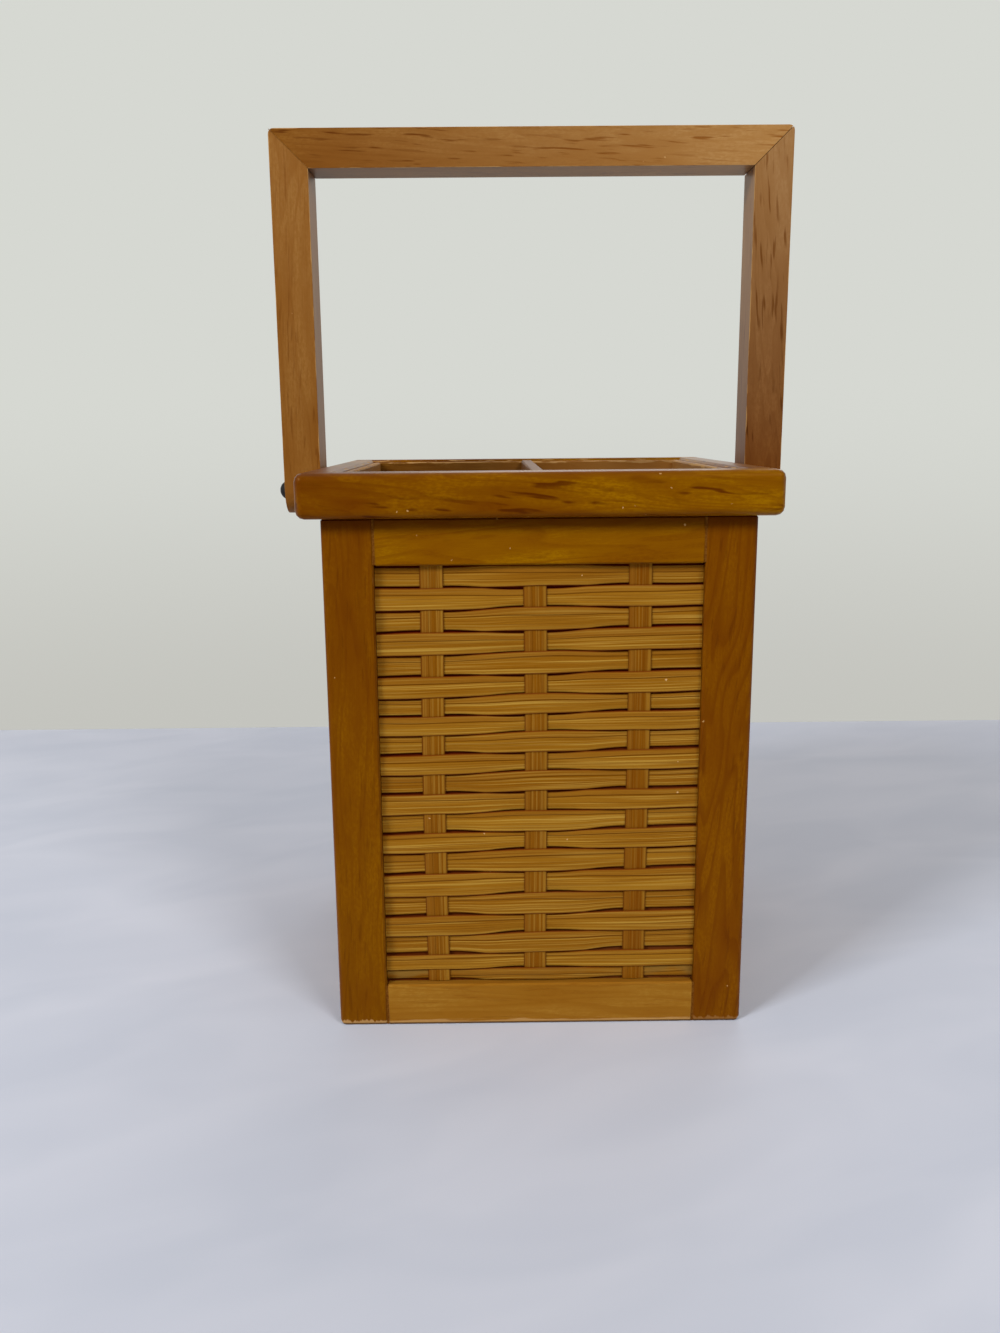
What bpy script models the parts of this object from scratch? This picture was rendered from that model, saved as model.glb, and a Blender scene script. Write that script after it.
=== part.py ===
"""Utensil basket: a square wooden caddy with woven bamboo sides, a rim band and a swinging handle.

Units are metres, +Z is up and the front faces -Y. The origin is the centre of the base.
An inner box of thin boards carries everything. A face frame of two stiles and two rails is
applied to each side of it, a woven mat fills each frame, four thick boards make the rim, and a
bail of two legs and a mitred top bar turns on a screw in each side of the rim.
"""

import math

import bmesh
import bpy
from mathutils import Matrix, Vector

# Body, measured over the face frames
BODY_WIDTH = 0.150
BODY_DEPTH = 0.150
BODY_HEIGHT = 0.205
FRAME_THICKNESS = 0.0042
STILE_WIDTH = 0.0177
TOP_RAIL_SHOWN = 0.0165
BOTTOM_RAIL_WIDTH = 0.0162
FOOT_RADIUS = 0.0025
UPRIGHT_ROUND_SHARE = 0.5

# Inner box
BOX_THICKNESS = 0.003
BOX_DROP = 0.001
BOTTOM_THICKNESS = 0.005
BOTTOM_RAISE = 0.0015
DIVIDER_THICKNESS = 0.005
DIVIDER_DROP = 0.0005

# Rim band
RIM_HEIGHT = 0.0155
RIM_OVERHANG = 0.0075
RIM_ROUND = 0.003
RIM_ARRIS = 0.001

# Woven mats. Stakes are placed in shares of the mat's width from its middle, and the edges
# between rows of weavers in shares of its height from the bottom.
STAKE_PLACE_SHARES = (-0.332, -0.013, 0.309)
ROW_EDGE_SHARES = (
    (0.000, 0.030, 0.071, 0.121, 0.170, 0.221, 0.277, 0.330, 0.377, 0.425, 0.474)
    + (0.522, 0.568, 0.615, 0.659, 0.703, 0.752, 0.802, 0.852, 0.903, 0.951, 1.000)
)
STAKE_WIDTH = 0.0082
STAKE_THICKNESS = 0.0006
WEAVER_THICKNESS = 0.0006
WEAVE_BITE = 0.00008
WEAVE_HOLD_SHARE = 0.7
WEAVE_END_SHARE = 0.5
ROW_GAP = 0.0004
OVER_SPREAD = 0.0002
UNDER_SQUEEZE = 0.0005

# Handle and its pivots
LEG_THICKNESS = 0.0144
LEG_WIDTH = 0.0182
BAR_HEIGHT = 0.0141
HANDLE_RISE = 0.1338
HANDLE_CORNER_RADIUS = 0.002
HANDLE_ARRIS = 0.0012
PIVOT_DROP = 0.0097
LEG_GAP = 0.0015
SCREW_RADIUS = 0.002
SCREW_HEAD_RADIUS = 0.0039
SCREW_HEAD_HEIGHT = 0.0031
SCREW_DEPTH = 0.009
WASHER_RADIUS = 0.0055

# Clearances and small edges
SEAT = 0.0003
RUNNING = 0.00008
ARRIS = 0.0006
CUT_OVERRUN = 0.002
WELD_DISTANCE = 0.00001

# Counts of facets, and angles
ROUND_SEGMENTS = 3
ARRIS_SEGMENTS = 1
HANDLE_ARRIS_SEGMENTS = 2
LEG_END_SEGMENTS = 6
CORNER_SEGMENTS = 4
DOME_SEGMENTS = 4
TURN_STEPS = 20
SHARP_ANGLE = math.radians(60)
FLAT_ANGLE = math.radians(1)
QUARTER_TURN = math.pi / 2

# Places worked out from the sizes above
HALF_WIDTH = BODY_WIDTH / 2
HALF_DEPTH = BODY_DEPTH / 2
BOX_INSET = FRAME_THICKNESS + SEAT
INNER_INSET = BOX_INSET + BOX_THICKNESS
RIM_THICKNESS = RIM_OVERHANG + FRAME_THICKNESS
RIM_HALF_WIDTH = HALF_WIDTH + RIM_OVERHANG
RIM_BOTTOM = BODY_HEIGHT - RIM_HEIGHT
FRAME_TOP = RIM_BOTTOM - SEAT
PANEL_TOP = RIM_BOTTOM - TOP_RAIL_SHOWN
MAT_BOTTOM = BOTTOM_RAIL_WIDTH + SEAT
MAT_HEIGHT = PANEL_TOP - SEAT - MAT_BOTTOM
MAT_THICKNESS = STAKE_THICKNESS + 2 * (WEAVER_THICKNESS - WEAVE_BITE)
WEAVE_LIFT = (STAKE_THICKNESS + WEAVER_THICKNESS) / 2 - WEAVE_BITE
PIVOT_HEIGHT = BODY_HEIGHT - PIVOT_DROP
LEG_INNER = RIM_HALF_WIDTH + LEG_GAP
LEG_OUTER = LEG_INNER + LEG_THICKNESS
LEG_END = LEG_WIDTH / 2

UNIT_CUBE = 1
UPRIGHT_TO_FRONT = Matrix(((1, 0, 0, 0), (0, 0, -1, 0), (0, 1, 0, 0), (0, 0, 0, 1)))
SIDES = ("front", "right", "back", "left")
HANDS = (("left", -1), ("right", 1))


def linear(code):
    """The linear colour of an sRGB hex code, as red, green, blue and alpha."""
    channels = [int(code[place : place + 2], 16) / 255 for place in (1, 3, 5)]
    bent = [c / 12.92 if c <= 0.04045 else ((c + 0.055) / 1.055) ** 2.4 for c in channels]
    return (*bent, 1.0)


def clear_scene():
    for thing in list(bpy.data.objects):
        bpy.data.objects.remove(thing, do_unlink=True)


def collection(name):
    made = bpy.data.collections.new(name)
    bpy.context.scene.collection.children.link(made)
    return made


def material(name, code, roughness, metallic=0.0):
    made = bpy.data.materials.new(name)
    made.use_nodes = True
    shader = made.node_tree.nodes["Principled BSDF"]
    shader.inputs["Base Color"].default_value = linear(code)
    shader.inputs["Roughness"].default_value = roughness
    shader.inputs["Metallic"].default_value = metallic
    made.diffuse_color = linear(code)
    return made


def mesh_from(name, shape):
    """A smooth-shaded mesh with a bevel weight layer, from a bmesh that is then freed."""
    mesh = bpy.data.meshes.new(name)
    shape.edges.layers.float.new("bevel_weight_edge")
    shape.to_mesh(mesh)
    shape.free()
    mesh.shade_smooth()
    return mesh


def add_part(name, mesh, finish, parent=None, location=(0, 0, 0)):
    made = bpy.data.objects.new(name, mesh)
    made.location = location
    made.parent = parent
    made.data.materials.append(finish)
    parts.objects.link(made)
    return made


def add_cutter(name, mesh, parent=None, location=(0, 0, 0)):
    made = bpy.data.objects.new(name, mesh)
    made.location = location
    made.parent = parent
    made.hide_render = True
    made.display_type = "WIRE"
    cutters.objects.link(made)
    return made


def add_empty(name, location=(0, 0, 0), turn=0):
    made = bpy.data.objects.new(name, None)
    made.location = location
    made.rotation_euler = (0, 0, turn)
    parts.objects.link(made)
    return made


def add_box(shape, low, high):
    """Adds a box between two corners to a bmesh."""
    made = bmesh.ops.create_cube(shape, size=UNIT_CUBE)["verts"]
    bmesh.ops.scale(shape, vec=Vector(high) - Vector(low), verts=made)
    bmesh.ops.translate(shape, vec=(Vector(high) + Vector(low)) / 2, verts=made)


def outline_mesh(name, points, half_thickness):
    """A flat outline in x and z made solid along y, as far to either side of y = 0."""
    curve = bpy.data.curves.new(name, "CURVE")
    curve.dimensions = "2D"
    curve.fill_mode = "BOTH"
    curve.extrude = half_thickness
    spline = curve.splines.new("POLY")
    spline.points.add(len(points) - 1)
    for place, (across, up) in zip(spline.points, points):
        place.co = (across, up, 0, 1)
    spline.use_cyclic_u = True
    guide = bpy.data.objects.new(name, curve)
    cutters.objects.link(guide)
    graph = bpy.context.evaluated_depsgraph_get()
    flat = bpy.data.meshes.new_from_object(guide.evaluated_get(graph))
    bpy.data.objects.remove(guide, do_unlink=True)
    flat.transform(UPRIGHT_TO_FRONT)
    shape = bmesh.new()
    shape.from_mesh(flat)
    bmesh.ops.remove_doubles(shape, verts=shape.verts, dist=WELD_DISTANCE)
    bmesh.ops.dissolve_limit(shape, angle_limit=FLAT_ANGLE, verts=shape.verts, edges=shape.edges)
    bmesh.ops.recalc_face_normals(shape, faces=shape.faces)
    return mesh_from(name, shape)


def near(value, target):
    return abs(value - target) < WELD_DISTANCE


def weigh_edges(mesh, share_of):
    """Gives each edge the bevel weight that share_of() returns for its two ends."""
    weights = mesh.attributes["bevel_weight_edge"].data
    for edge in mesh.edges:
        first, second = (mesh.vertices[index].co for index in edge.vertices)
        weights[edge.index].value = share_of(first, second)


def bevel(thing, name, width, segments, method):
    modifier = thing.modifiers.new(name, "BEVEL")
    modifier.width = width
    modifier.segments = segments
    modifier.limit_method = method
    modifier.angle_limit = SHARP_ANGLE
    modifier.harden_normals = True


def cut(thing, cutter):
    modifier = thing.modifiers.new(cutter.name, "BOOLEAN")
    modifier.operation = "DIFFERENCE"
    modifier.object = cutter
    modifier.solver = "EXACT"


def board(name, low, high, finish, parent=None, arris=ARRIS):
    """A board between two corners with eased edges."""
    shape = bmesh.new()
    add_box(shape, low, high)
    made = add_part(name, mesh_from(name, shape), finish, parent)
    bevel(made, "Arris", arris, ARRIS_SEGMENTS, "ANGLE")
    return made


def rounded_board(name, low, high, finish, parent, radius, share_of, arris=ARRIS):
    """A board whose edges are rounded by a share of the radius, and eased where it is 0."""
    shape = bmesh.new()
    add_box(shape, low, high)
    mesh = mesh_from(name, shape)
    weigh_edges(mesh, share_of)
    made = add_part(name, mesh, finish, parent)
    bevel(made, "Round", radius, ROUND_SEGMENTS, "WEIGHT")
    bevel(made, "Arris", arris, ARRIS_SEGMENTS, "ANGLE")
    return made


def side_of(side):
    """An empty turned so that its -Y looks out of that side, with the half width of the body
    seen from there and the distance of its face from the centre."""
    empty = add_empty(f"{side}_side", turn=SIDES.index(side) * QUARTER_TURN)
    if side in ("front", "back"):
        return empty, HALF_WIDTH, HALF_DEPTH
    return empty, HALF_DEPTH, HALF_WIDTH


def stile(name, side, sign, empty, half, out):
    """A stile. Those of the front and back cover the ends of the side ones, so they have the
    rounded corner of the body, and the side ones have only the rounded lower edge."""
    covers = side in ("front", "back")
    end = half if covers else half - BOX_INSET
    near_edge, far_edge = sorted((sign * end, sign * (half - STILE_WIDTH)))

    def share_of(first, second):
        at_end = near(first.x, sign * end) and near(second.x, sign * end)
        at_face = near(first.y, -out) and near(second.y, -out)
        at_foot = near(first.z, 0) and near(second.z, 0)
        if covers and at_end and at_face:
            return UPRIGHT_ROUND_SHARE
        return float(at_foot and (at_end if covers else at_face))

    low = (near_edge, -out, 0)
    high = (far_edge, -out + FRAME_THICKNESS, FRAME_TOP)
    rounded_board(name, low, high, WOOD, empty, FOOT_RADIUS, share_of)


def face_frame(side, empty, half, out):
    """Two stiles over the full height with two rails between them."""
    for hand, sign in HANDS:
        stile(f"{side}_{hand}_stile", side, sign, empty, half, out)

    def share_of(first, second):
        at_face = near(first.y, -out) and near(second.y, -out)
        at_foot = near(first.z, 0) and near(second.z, 0)
        return float(at_foot and at_face)

    rail = half - STILE_WIDTH - SEAT
    back = -out + FRAME_THICKNESS
    board(f"{side}_top_rail", (-rail, -out, PANEL_TOP), (rail, back, FRAME_TOP), WOOD, empty)
    low = (-rail, -out, 0)
    high = (rail, back, BOTTOM_RAIL_WIDTH)
    name = f"{side}_bottom_rail"
    if side in ("front", "back"):
        board(name, low, high, WOOD, empty)
    else:
        rounded_board(name, low, high, WOOD, empty, FOOT_RADIUS, share_of)


def weaver_stations(stakes, half):
    """Places along a weaver, each with the index of the stake that it is held at. It is held
    from one side of a stake to the other, and is free midway between two stakes."""
    hold = STAKE_WIDTH * WEAVE_HOLD_SHARE
    places = [(stake + sign * hold, index) for index, stake in enumerate(stakes) for sign in (-1, 1)]
    free = [((first + second) / 2, None) for first, second in zip(stakes, stakes[1:])]
    ends = [(-half, 0), (half, len(stakes) - 1)]
    return sorted([*ends, *places, *free], key=lambda station: station[0])


def weaver_section(place, held_at, over_first, half, row_height):
    """How far a weaver stands in front of the stakes and half its height, at one station. It is
    spread where it passes over a stake, and squeezed by its neighbours where it passes under."""
    half_height = (row_height - ROW_GAP) / 2
    if held_at is None:
        return 0, half_height
    share = WEAVE_END_SHARE if near(abs(place), half) else 1
    if (held_at % 2 == 0) == over_first:
        return share * WEAVE_LIFT, half_height + share * OVER_SPREAD
    return -share * WEAVE_LIFT, half_height - share * UNDER_SQUEEZE


def weavers_mesh(name, stakes, half):
    """All the weavers of one mat as flat strips that follow their stations, odd rows passing
    over the outer stakes and even rows over the middle one."""
    shape = bmesh.new()
    stations = weaver_stations(stakes, half)
    edges = [MAT_BOTTOM + share * MAT_HEIGHT for share in ROW_EDGE_SHARES]
    for row, (low, high) in enumerate(zip(edges, edges[1:])):
        before = None
        for place, held_at in stations:
            lift, tall = weaver_section(place, held_at, row % 2 == 1, half, high - low)
            middle = (low + high) / 2
            ends = [shape.verts.new((place, -lift, middle + sign * tall)) for sign in (-1, 1)]
            if before:
                shape.faces.new((before[0], ends[0], ends[1], before[1]))
            before = ends
    return mesh_from(name, shape)


def woven_mat(side, empty, half, out):
    """The stakes of one side joined to its weavers where they cross."""
    panel_half = half - STILE_WIDTH - SEAT
    stakes = [share * 2 * panel_half for share in STAKE_PLACE_SHARES]
    depth = -out + BOX_INSET - SEAT - MAT_THICKNESS / 2
    name = f"{side}_weavers"
    strips = add_cutter(name, weavers_mesh(name, stakes, panel_half), empty, (0, depth, 0))
    wall = strips.modifiers.new("Thickness", "SOLIDIFY")
    wall.thickness = WEAVER_THICKNESS
    wall.offset = 0
    shape = bmesh.new()
    for stake in stakes:
        low = (stake - STAKE_WIDTH / 2, -STAKE_THICKNESS / 2, MAT_BOTTOM)
        high = (stake + STAKE_WIDTH / 2, STAKE_THICKNESS / 2, MAT_BOTTOM + MAT_HEIGHT)
        add_box(shape, low, high)
    name = f"{side}_woven_mat"
    mesh = mesh_from(name, shape)
    mesh.shade_flat()
    mat = add_part(name, mesh, BAMBOO, empty, (0, depth, 0))
    joined = mat.modifiers.new("Weavers", "BOOLEAN")
    joined.operation = "UNION"
    joined.solver = "EXACT"
    joined.object = strips


def box_wall(side, empty, half, out):
    """One wall of the inner box. The front and back walls cover the ends of the side ones."""
    covers = side in ("front", "back")
    end = half - BOX_INSET if covers else half - INNER_INSET - SEAT
    low = (-end, -out + BOX_INSET, 0)
    high = (end, -out + INNER_INSET, BODY_HEIGHT - BOX_DROP)
    board(f"{side}_box_wall", low, high, INNER_WOOD, empty)


def rim_board(side, empty, half, out):
    """One board of the rim band. The front and back boards run the full width, and the side
    boards between them have the blind holes for the pivot screws."""
    covers = side in ("front", "back")
    end = half + RIM_OVERHANG
    if not covers:
        end -= RIM_THICKNESS + SEAT
    face = -out - RIM_OVERHANG

    def share_of(first, second):
        at_face = near(first.y, face) and near(second.y, face)
        at_end = covers and near(first.x, second.x) and near(abs(first.x), end)
        lengthwise = near(first.x, -second.x)
        level = near(first.z, second.z)
        return float((at_face and (lengthwise or at_end)) or (at_end and level))

    low = (-end, face, RIM_BOTTOM)
    high = (end, face + RIM_THICKNESS, BODY_HEIGHT)
    made = rounded_board(f"{side}_rim_board", low, high, WOOD, empty, RIM_ROUND, share_of, RIM_ARRIS)
    if not covers:
        hole = cylinder(f"{side}_screw_hole", SCREW_RADIUS + RUNNING, SCREW_DEPTH + SEAT, empty)
        hole.location = (0, face, PIVOT_HEIGHT)
        cut(made, hole)


def cylinder(name, radius, depth, parent):
    """A cutter along +Y that reaches the depth and starts an overrun before its own origin."""
    shape = bmesh.new()
    length = depth + CUT_OVERRUN
    bmesh.ops.create_cone(
        shape, cap_ends=True, segments=TURN_STEPS, radius1=radius, radius2=radius, depth=length
    )
    bmesh.ops.rotate(shape, matrix=Matrix.Rotation(-QUARTER_TURN, 3, "X"), verts=shape.verts)
    bmesh.ops.translate(shape, vec=(0, (depth - CUT_OVERRUN) / 2, 0), verts=shape.verts)
    return add_cutter(name, mesh_from(name, shape), parent)


def bottom_and_divider():
    half_x = HALF_WIDTH - INNER_INSET - SEAT
    half_y = HALF_DEPTH - INNER_INSET - SEAT
    floor = BOTTOM_RAISE + BOTTOM_THICKNESS
    board("bottom_board", (-half_x, -half_y, BOTTOM_RAISE), (half_x, half_y, floor), INNER_WOOD)
    low = (-DIVIDER_THICKNESS / 2, -half_y, floor + SEAT)
    high = (DIVIDER_THICKNESS / 2, half_y, BODY_HEIGHT - DIVIDER_DROP)
    board("divider", low, high, INNER_WOOD)


def handle_outline():
    """The handle seen from the front, about its pivot: both legs and the bar, with the outer
    corners rounded."""
    inner_top = HANDLE_RISE - BAR_HEIGHT
    points = [(-LEG_OUTER, -LEG_END), (-LEG_INNER, -LEG_END), (-LEG_INNER, inner_top)]
    points += [(LEG_INNER, inner_top), (LEG_INNER, -LEG_END), (LEG_OUTER, -LEG_END)]
    for sign, start in ((1, 0), (-1, QUARTER_TURN)):
        centre_x = sign * (LEG_OUTER - HANDLE_CORNER_RADIUS)
        centre_z = HANDLE_RISE - HANDLE_CORNER_RADIUS
        for step in range(CORNER_SEGMENTS + 1):
            angle = start + step / CORNER_SEGMENTS * QUARTER_TURN
            across = centre_x + HANDLE_CORNER_RADIUS * math.cos(angle)
            points.append((across, centre_z + HANDLE_CORNER_RADIUS * math.sin(angle)))
    return points


def handle_blank(name, pivot):
    """The whole bail in one piece, its leg ends rounded about the pivot and its edges eased."""

    def share_of(first, second):
        across = near(first.y, second.y)
        return float(across and near(first.z, -LEG_END) and near(second.z, -LEG_END))

    mesh = outline_mesh(name, handle_outline(), LEG_END)
    weigh_edges(mesh, share_of)
    made = add_part(name, mesh, WOOD, pivot)
    bevel(made, "End round", LEG_END - WELD_DISTANCE, LEG_END_SEGMENTS, "WEIGHT")
    bevel(made, "Arris", HANDLE_ARRIS, HANDLE_ARRIS_SEGMENTS, "ANGLE")
    return made


def mitre_cutter(name, sign, past, offset, pivot):
    """A cutter with one edge along a mitre, from the outer corner to the inner one. It takes
    all from there to the place past, and the offset moves its edge along the bar."""
    outer = Vector((sign * LEG_OUTER + offset, HANDLE_RISE))
    inner = Vector((sign * LEG_INNER + offset, HANDLE_RISE - BAR_HEIGHT))
    reach = (outer - inner).normalized() * CUT_OVERRUN
    top = outer + 2 * reach
    bottom = inner - reach
    under = -LEG_END - CUT_OVERRUN
    points = [bottom, top, (past, top.y), (past, under), (bottom.x, under)]
    mesh = outline_mesh(name, [tuple(point) for point in points], LEG_END + CUT_OVERRUN)
    return add_cutter(name, mesh, pivot)


def handle():
    """Two legs and a bar cut from the same blank at their mitres, with a hole in each leg."""
    pivot = add_empty("handle_pivot", (0, 0, PIVOT_HEIGHT))
    bar = handle_blank("handle_bar", pivot)
    beyond = LEG_OUTER + 2 * CUT_OVERRUN
    for hand, sign in HANDS:
        leg = handle_blank(f"handle_{hand}_leg", pivot)
        cut(leg, mitre_cutter(f"{hand}_bar_waste", sign, -sign * beyond, sign * SEAT / 2, pivot))
        cut(bar, mitre_cutter(f"{hand}_leg_waste", sign, sign * beyond, -sign * SEAT / 2, pivot))
        through = LEG_THICKNESS + CUT_OVERRUN
        hole = cylinder(f"{hand}_leg_hole", SCREW_RADIUS + RUNNING, through, pivot)
        hole.location = (sign * LEG_OUTER, 0, 0)
        hole.rotation_euler = (0, 0, sign * QUARTER_TURN)
        cut(leg, hole)


def turned(name, profile, sign, distance):
    """A profile of (radius, height) points turned about an axis that points out of one side."""
    shape = bmesh.new()
    before = None
    for radius, height in profile:
        point = shape.verts.new((radius, 0, height))
        if before:
            shape.edges.new((before, point))
        before = point
    made = add_part(name, mesh_from(name, shape), BLACK_STEEL)
    made.location = (sign * distance, 0, PIVOT_HEIGHT)
    made.rotation_euler = (0, sign * QUARTER_TURN, 0)
    screw = made.modifiers.new("Turn", "SCREW")
    screw.steps = TURN_STEPS
    screw.render_steps = TURN_STEPS
    screw.use_merge_vertices = True
    screw.merge_threshold = WELD_DISTANCE
    screw.use_smooth_shade = True


def screw_profile(length):
    """A screw from the top of its domed head to its end, with the head's seat at height 0."""
    bulge = (SCREW_HEAD_RADIUS**2 + SCREW_HEAD_HEIGHT**2) / (2 * SCREW_HEAD_HEIGHT)
    spread = math.asin(min(1, SCREW_HEAD_RADIUS / bulge))
    points = []
    for step in range(DOME_SEGMENTS + 1):
        angle = spread * step / DOME_SEGMENTS
        height = SCREW_HEAD_HEIGHT - bulge + bulge * math.cos(angle)
        points.append((bulge * math.sin(angle), height))
    return [*points, (SCREW_RADIUS, 0), (SCREW_RADIUS, -length), (0, -length)]


def pivots():
    """A screw through each leg into the rim, and a washer between the leg and the rim."""
    length = SEAT + LEG_THICKNESS + LEG_GAP + SCREW_DEPTH
    thickness = LEG_GAP - 2 * SEAT
    bore = SCREW_RADIUS + RUNNING
    ring = [(bore, 0), (bore, thickness), (WASHER_RADIUS, thickness), (WASHER_RADIUS, 0), (bore, 0)]
    for hand, sign in HANDS:
        turned(f"{hand}_pivot_screw", screw_profile(length), sign, LEG_OUTER + SEAT)
        turned(f"{hand}_washer", ring, sign, RIM_HALF_WIDTH + SEAT)


clear_scene()
parts = collection("utensil_basket")
cutters = collection("cutters")
WOOD = material("Stained hardwood", "#8F5B1C", 0.4)
INNER_WOOD = material("Inner board", "#7A5220", 0.55)
BAMBOO = material("Woven bamboo", "#9C6E22", 0.45)
BLACK_STEEL = material("Blackened steel", "#151515", 0.35, 0.8)

for side in SIDES:
    empty, half, out = side_of(side)
    face_frame(side, empty, half, out)
    woven_mat(side, empty, half, out)
    box_wall(side, empty, half, out)
    rim_board(side, empty, half, out)
bottom_and_divider()
handle()
pivots()
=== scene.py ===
"""Square wooden utensil caddy: stained hardwood frames and rim, a woven bamboo mat in each
side, two compartments and a bail handle that swings on two black screws.

The boards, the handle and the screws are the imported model's own solids, smoothed and given
their finish. The four mats are made here, strip by strip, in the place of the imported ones.
Lengths are in metres and colours are sRGB hex values."""
import math

import bpy
import numpy as np
from mathutils import Matrix, Vector


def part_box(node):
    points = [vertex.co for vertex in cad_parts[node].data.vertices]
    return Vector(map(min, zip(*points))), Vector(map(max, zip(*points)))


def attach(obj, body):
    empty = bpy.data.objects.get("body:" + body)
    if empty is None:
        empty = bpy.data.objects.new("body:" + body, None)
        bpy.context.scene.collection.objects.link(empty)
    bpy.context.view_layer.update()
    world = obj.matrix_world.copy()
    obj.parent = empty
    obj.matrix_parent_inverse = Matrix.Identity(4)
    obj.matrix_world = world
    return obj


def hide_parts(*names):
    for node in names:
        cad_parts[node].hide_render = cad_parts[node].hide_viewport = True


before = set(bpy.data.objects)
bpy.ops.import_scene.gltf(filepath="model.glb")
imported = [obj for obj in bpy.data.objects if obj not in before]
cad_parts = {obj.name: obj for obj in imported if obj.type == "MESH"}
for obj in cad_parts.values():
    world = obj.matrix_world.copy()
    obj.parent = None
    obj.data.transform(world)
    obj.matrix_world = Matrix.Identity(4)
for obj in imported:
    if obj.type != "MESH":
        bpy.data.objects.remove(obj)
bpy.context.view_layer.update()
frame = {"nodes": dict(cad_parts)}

# The photograph's camera, fitted to the edges of the object.
IMAGE_WIDTH, IMAGE_HEIGHT = 1000, 1333
FOCAL_PIXELS = 1119.2
CAMERA_PLACE = (-0.01625, -0.45886, 0.21907)
CAMERA_YAW, CAMERA_PITCH, CAMERA_ROLL = map(math.radians, (0.34, 12.02, -0.50))
SENSOR_WIDTH = 36
NEAREST_SEEN = 0.01

# The table, the wall, the even light low down and overhead, and the lamps, each with its place,
# width, power and tint. The wall pales between two slopes of the view. The window and the
# doorway throw the two shadows that the photograph's table shows, one to each side.
TABLE_REACH, TABLE_FAR_EDGE = 1.0, 0.358
WALL_PALING = -0.26, 0.04
AMBIENT_LOW, AMBIENT_HIGH = 0.18, 0.38
AMBIENT_TINT = (1.0, 0.95, 0.90)
LAMP_TARGET = (0, 0, 0.13)
LAMPS = {
    "window": ((-1.44, -1.30, 1.28), 0.6, 28, (0.97, 1.0, 1.04)),
    "doorway": ((1.00, -1.60, 1.50), 0.7, 16.5, (1, 1, 1)),
    "back": ((0.3, 1.4, 1.2), 1.0, 6, (1, 1, 1)),
}

# Edges turned by more than this are sharp: those of the boards, and those of the strips.
BOARD_SHARP_ANGLE, STRIP_SHARP_ANGLE = math.radians(40), math.radians(80)
MERGE_DISTANCE = 1e-6

# Glue lines: their width, and how far they stay inside the wood's faces. At the handle's
# rounded top corners they stay further in by this factor.
MITRE_WIDTH, LEFT_MITRE_INSET, RIGHT_MITRE_INSET = 0.00026, 0.00015, 0.0005
MITRE_TOP_FACTOR = 1.8
JOINT_WIDTH, JOINT_INSET = 0.0009, 0.00032

# The mats, in the front's place. Split bamboo strips about 7.4 mm wide go over and under three
# upright stakes. The rows' edges are shares of the mat's height, and the stakes' places shares
# of its width from the middle.
SIDES = ("front", "right", "back", "left")
MAT_SEED = 40
MAT_BACK_GAP = 0.00005
MAT_LOW, MAT_HIGH = map(np.array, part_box("front_woven_mat"))
STAKE_SHARES = (-0.332, -0.013, 0.309)
ROW_EDGE_SHARES = (
    0, 0.030, 0.071, 0.121, 0.170, 0.221, 0.277, 0.330, 0.377, 0.425, 0.474,
    0.522, 0.568, 0.615, 0.659, 0.703, 0.752, 0.802, 0.852, 0.903, 0.951, 1,
)
STAKE_WIDTH, STAKE_THICKNESS = 0.0082, 0.0006
STAKE_WAVE = 0.00012
STAKE_WANDER, STAKE_WANDER_LENGTH = 0.0003, 0.19
STAKE_TONES = (0.18, 0.14, 0.04)
WEAVER_WIDTH, WEAVER_THICKNESS = 0.00744, 0.0008
WEAVER_LIFT = 0.00062
WEAVER_CANT = 0.00006
WEAVER_TONES = (0.40, 1)
RAW_LEAST = 0.25
# A weaver keeps its lift for this share of an upright's width to each side of its middle, and
# this share of the lift is left at its ends, which reach a little further than the mat.
HOLD_SHARE, END_SHARE = 0.62, 0.85
END_REACH = 0.0002
ROW_GAP = 0.00018
ROW_WANDER, ROW_WANDER_LENGTHS = 0.00014, (0.083, 0.031)
# How far the rows of each mat rise to the right over its width, but for those next to the rails,
# which level out over these shares of its height at the bottom and the top.
ROW_RISE = {"front": 0.0021, "right": -0.0009, "back": 0.0013, "left": 0.0006}
LEVEL_SHARES = (0.08, 0.16)
# How far a weaver's edges move, the least and the most: its top and bottom edge out where it
# crosses over an upright, then in where it passes behind one. The rows over the middle upright
# come first, and then those over the outer two. Low rows are squeezed less than high ones.
EDGE_LEAST = np.array([(0.40, -0.15, 0.50, 0.45), (0.00, 0.00, 0.60, 0.25)]) * 0.001
EDGE_MOST = np.array([(0.80, 0.15, 0.95, 0.90), (0.30, 0.30, 1.00, 0.60)]) * 0.001
SQUEEZE_SHARES = (0.70, 0.85), (0.85, 1.0)
STATIONS, FRONT_POINTS, BACK_POINTS = 97, 13, 7
SECTION_POWER, CROWN_SHARE = 6, 0.3

# Worked out from these: the rows and their kinds, the mat's middle plane, the uprights' places,
# and the stations along a weaver and up an upright.
ROWS = len(ROW_EDGE_SHARES) - 1
ROW_KINDS = np.arange(ROWS) % 2
STRIPS = ROWS + len(STAKE_SHARES)
MAT_PLANE = MAT_HIGH[1] - MAT_BACK_GAP - WEAVER_LIFT - WEAVER_THICKNESS / 2
STAKES = np.array(STAKE_SHARES) * 2 * MAT_HIGH[0]
HALF_LENGTH = MAT_HIGH[0] + END_REACH
ALONG = np.linspace(-HALF_LENGTH, HALF_LENGTH, STATIONS)
UPWARD = np.linspace(MAT_LOW[2], MAT_HIGH[2], STATIONS)


# Small tools

def linear(colour, depth=1.0):
    """A hex colour as linear RGBA. A depth over 1 is the same stain laid on thicker, which
    darkens each part of the light by its own power."""
    parts = (int(colour[place:place + 2], 16) / 255 for place in (1, 3, 5))
    parts = (part / 12.92 if part <= 0.04045 else ((part + 0.055) / 1.055) ** 2.4 for part in parts)
    return [*(part ** depth for part in parts), 1]


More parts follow.
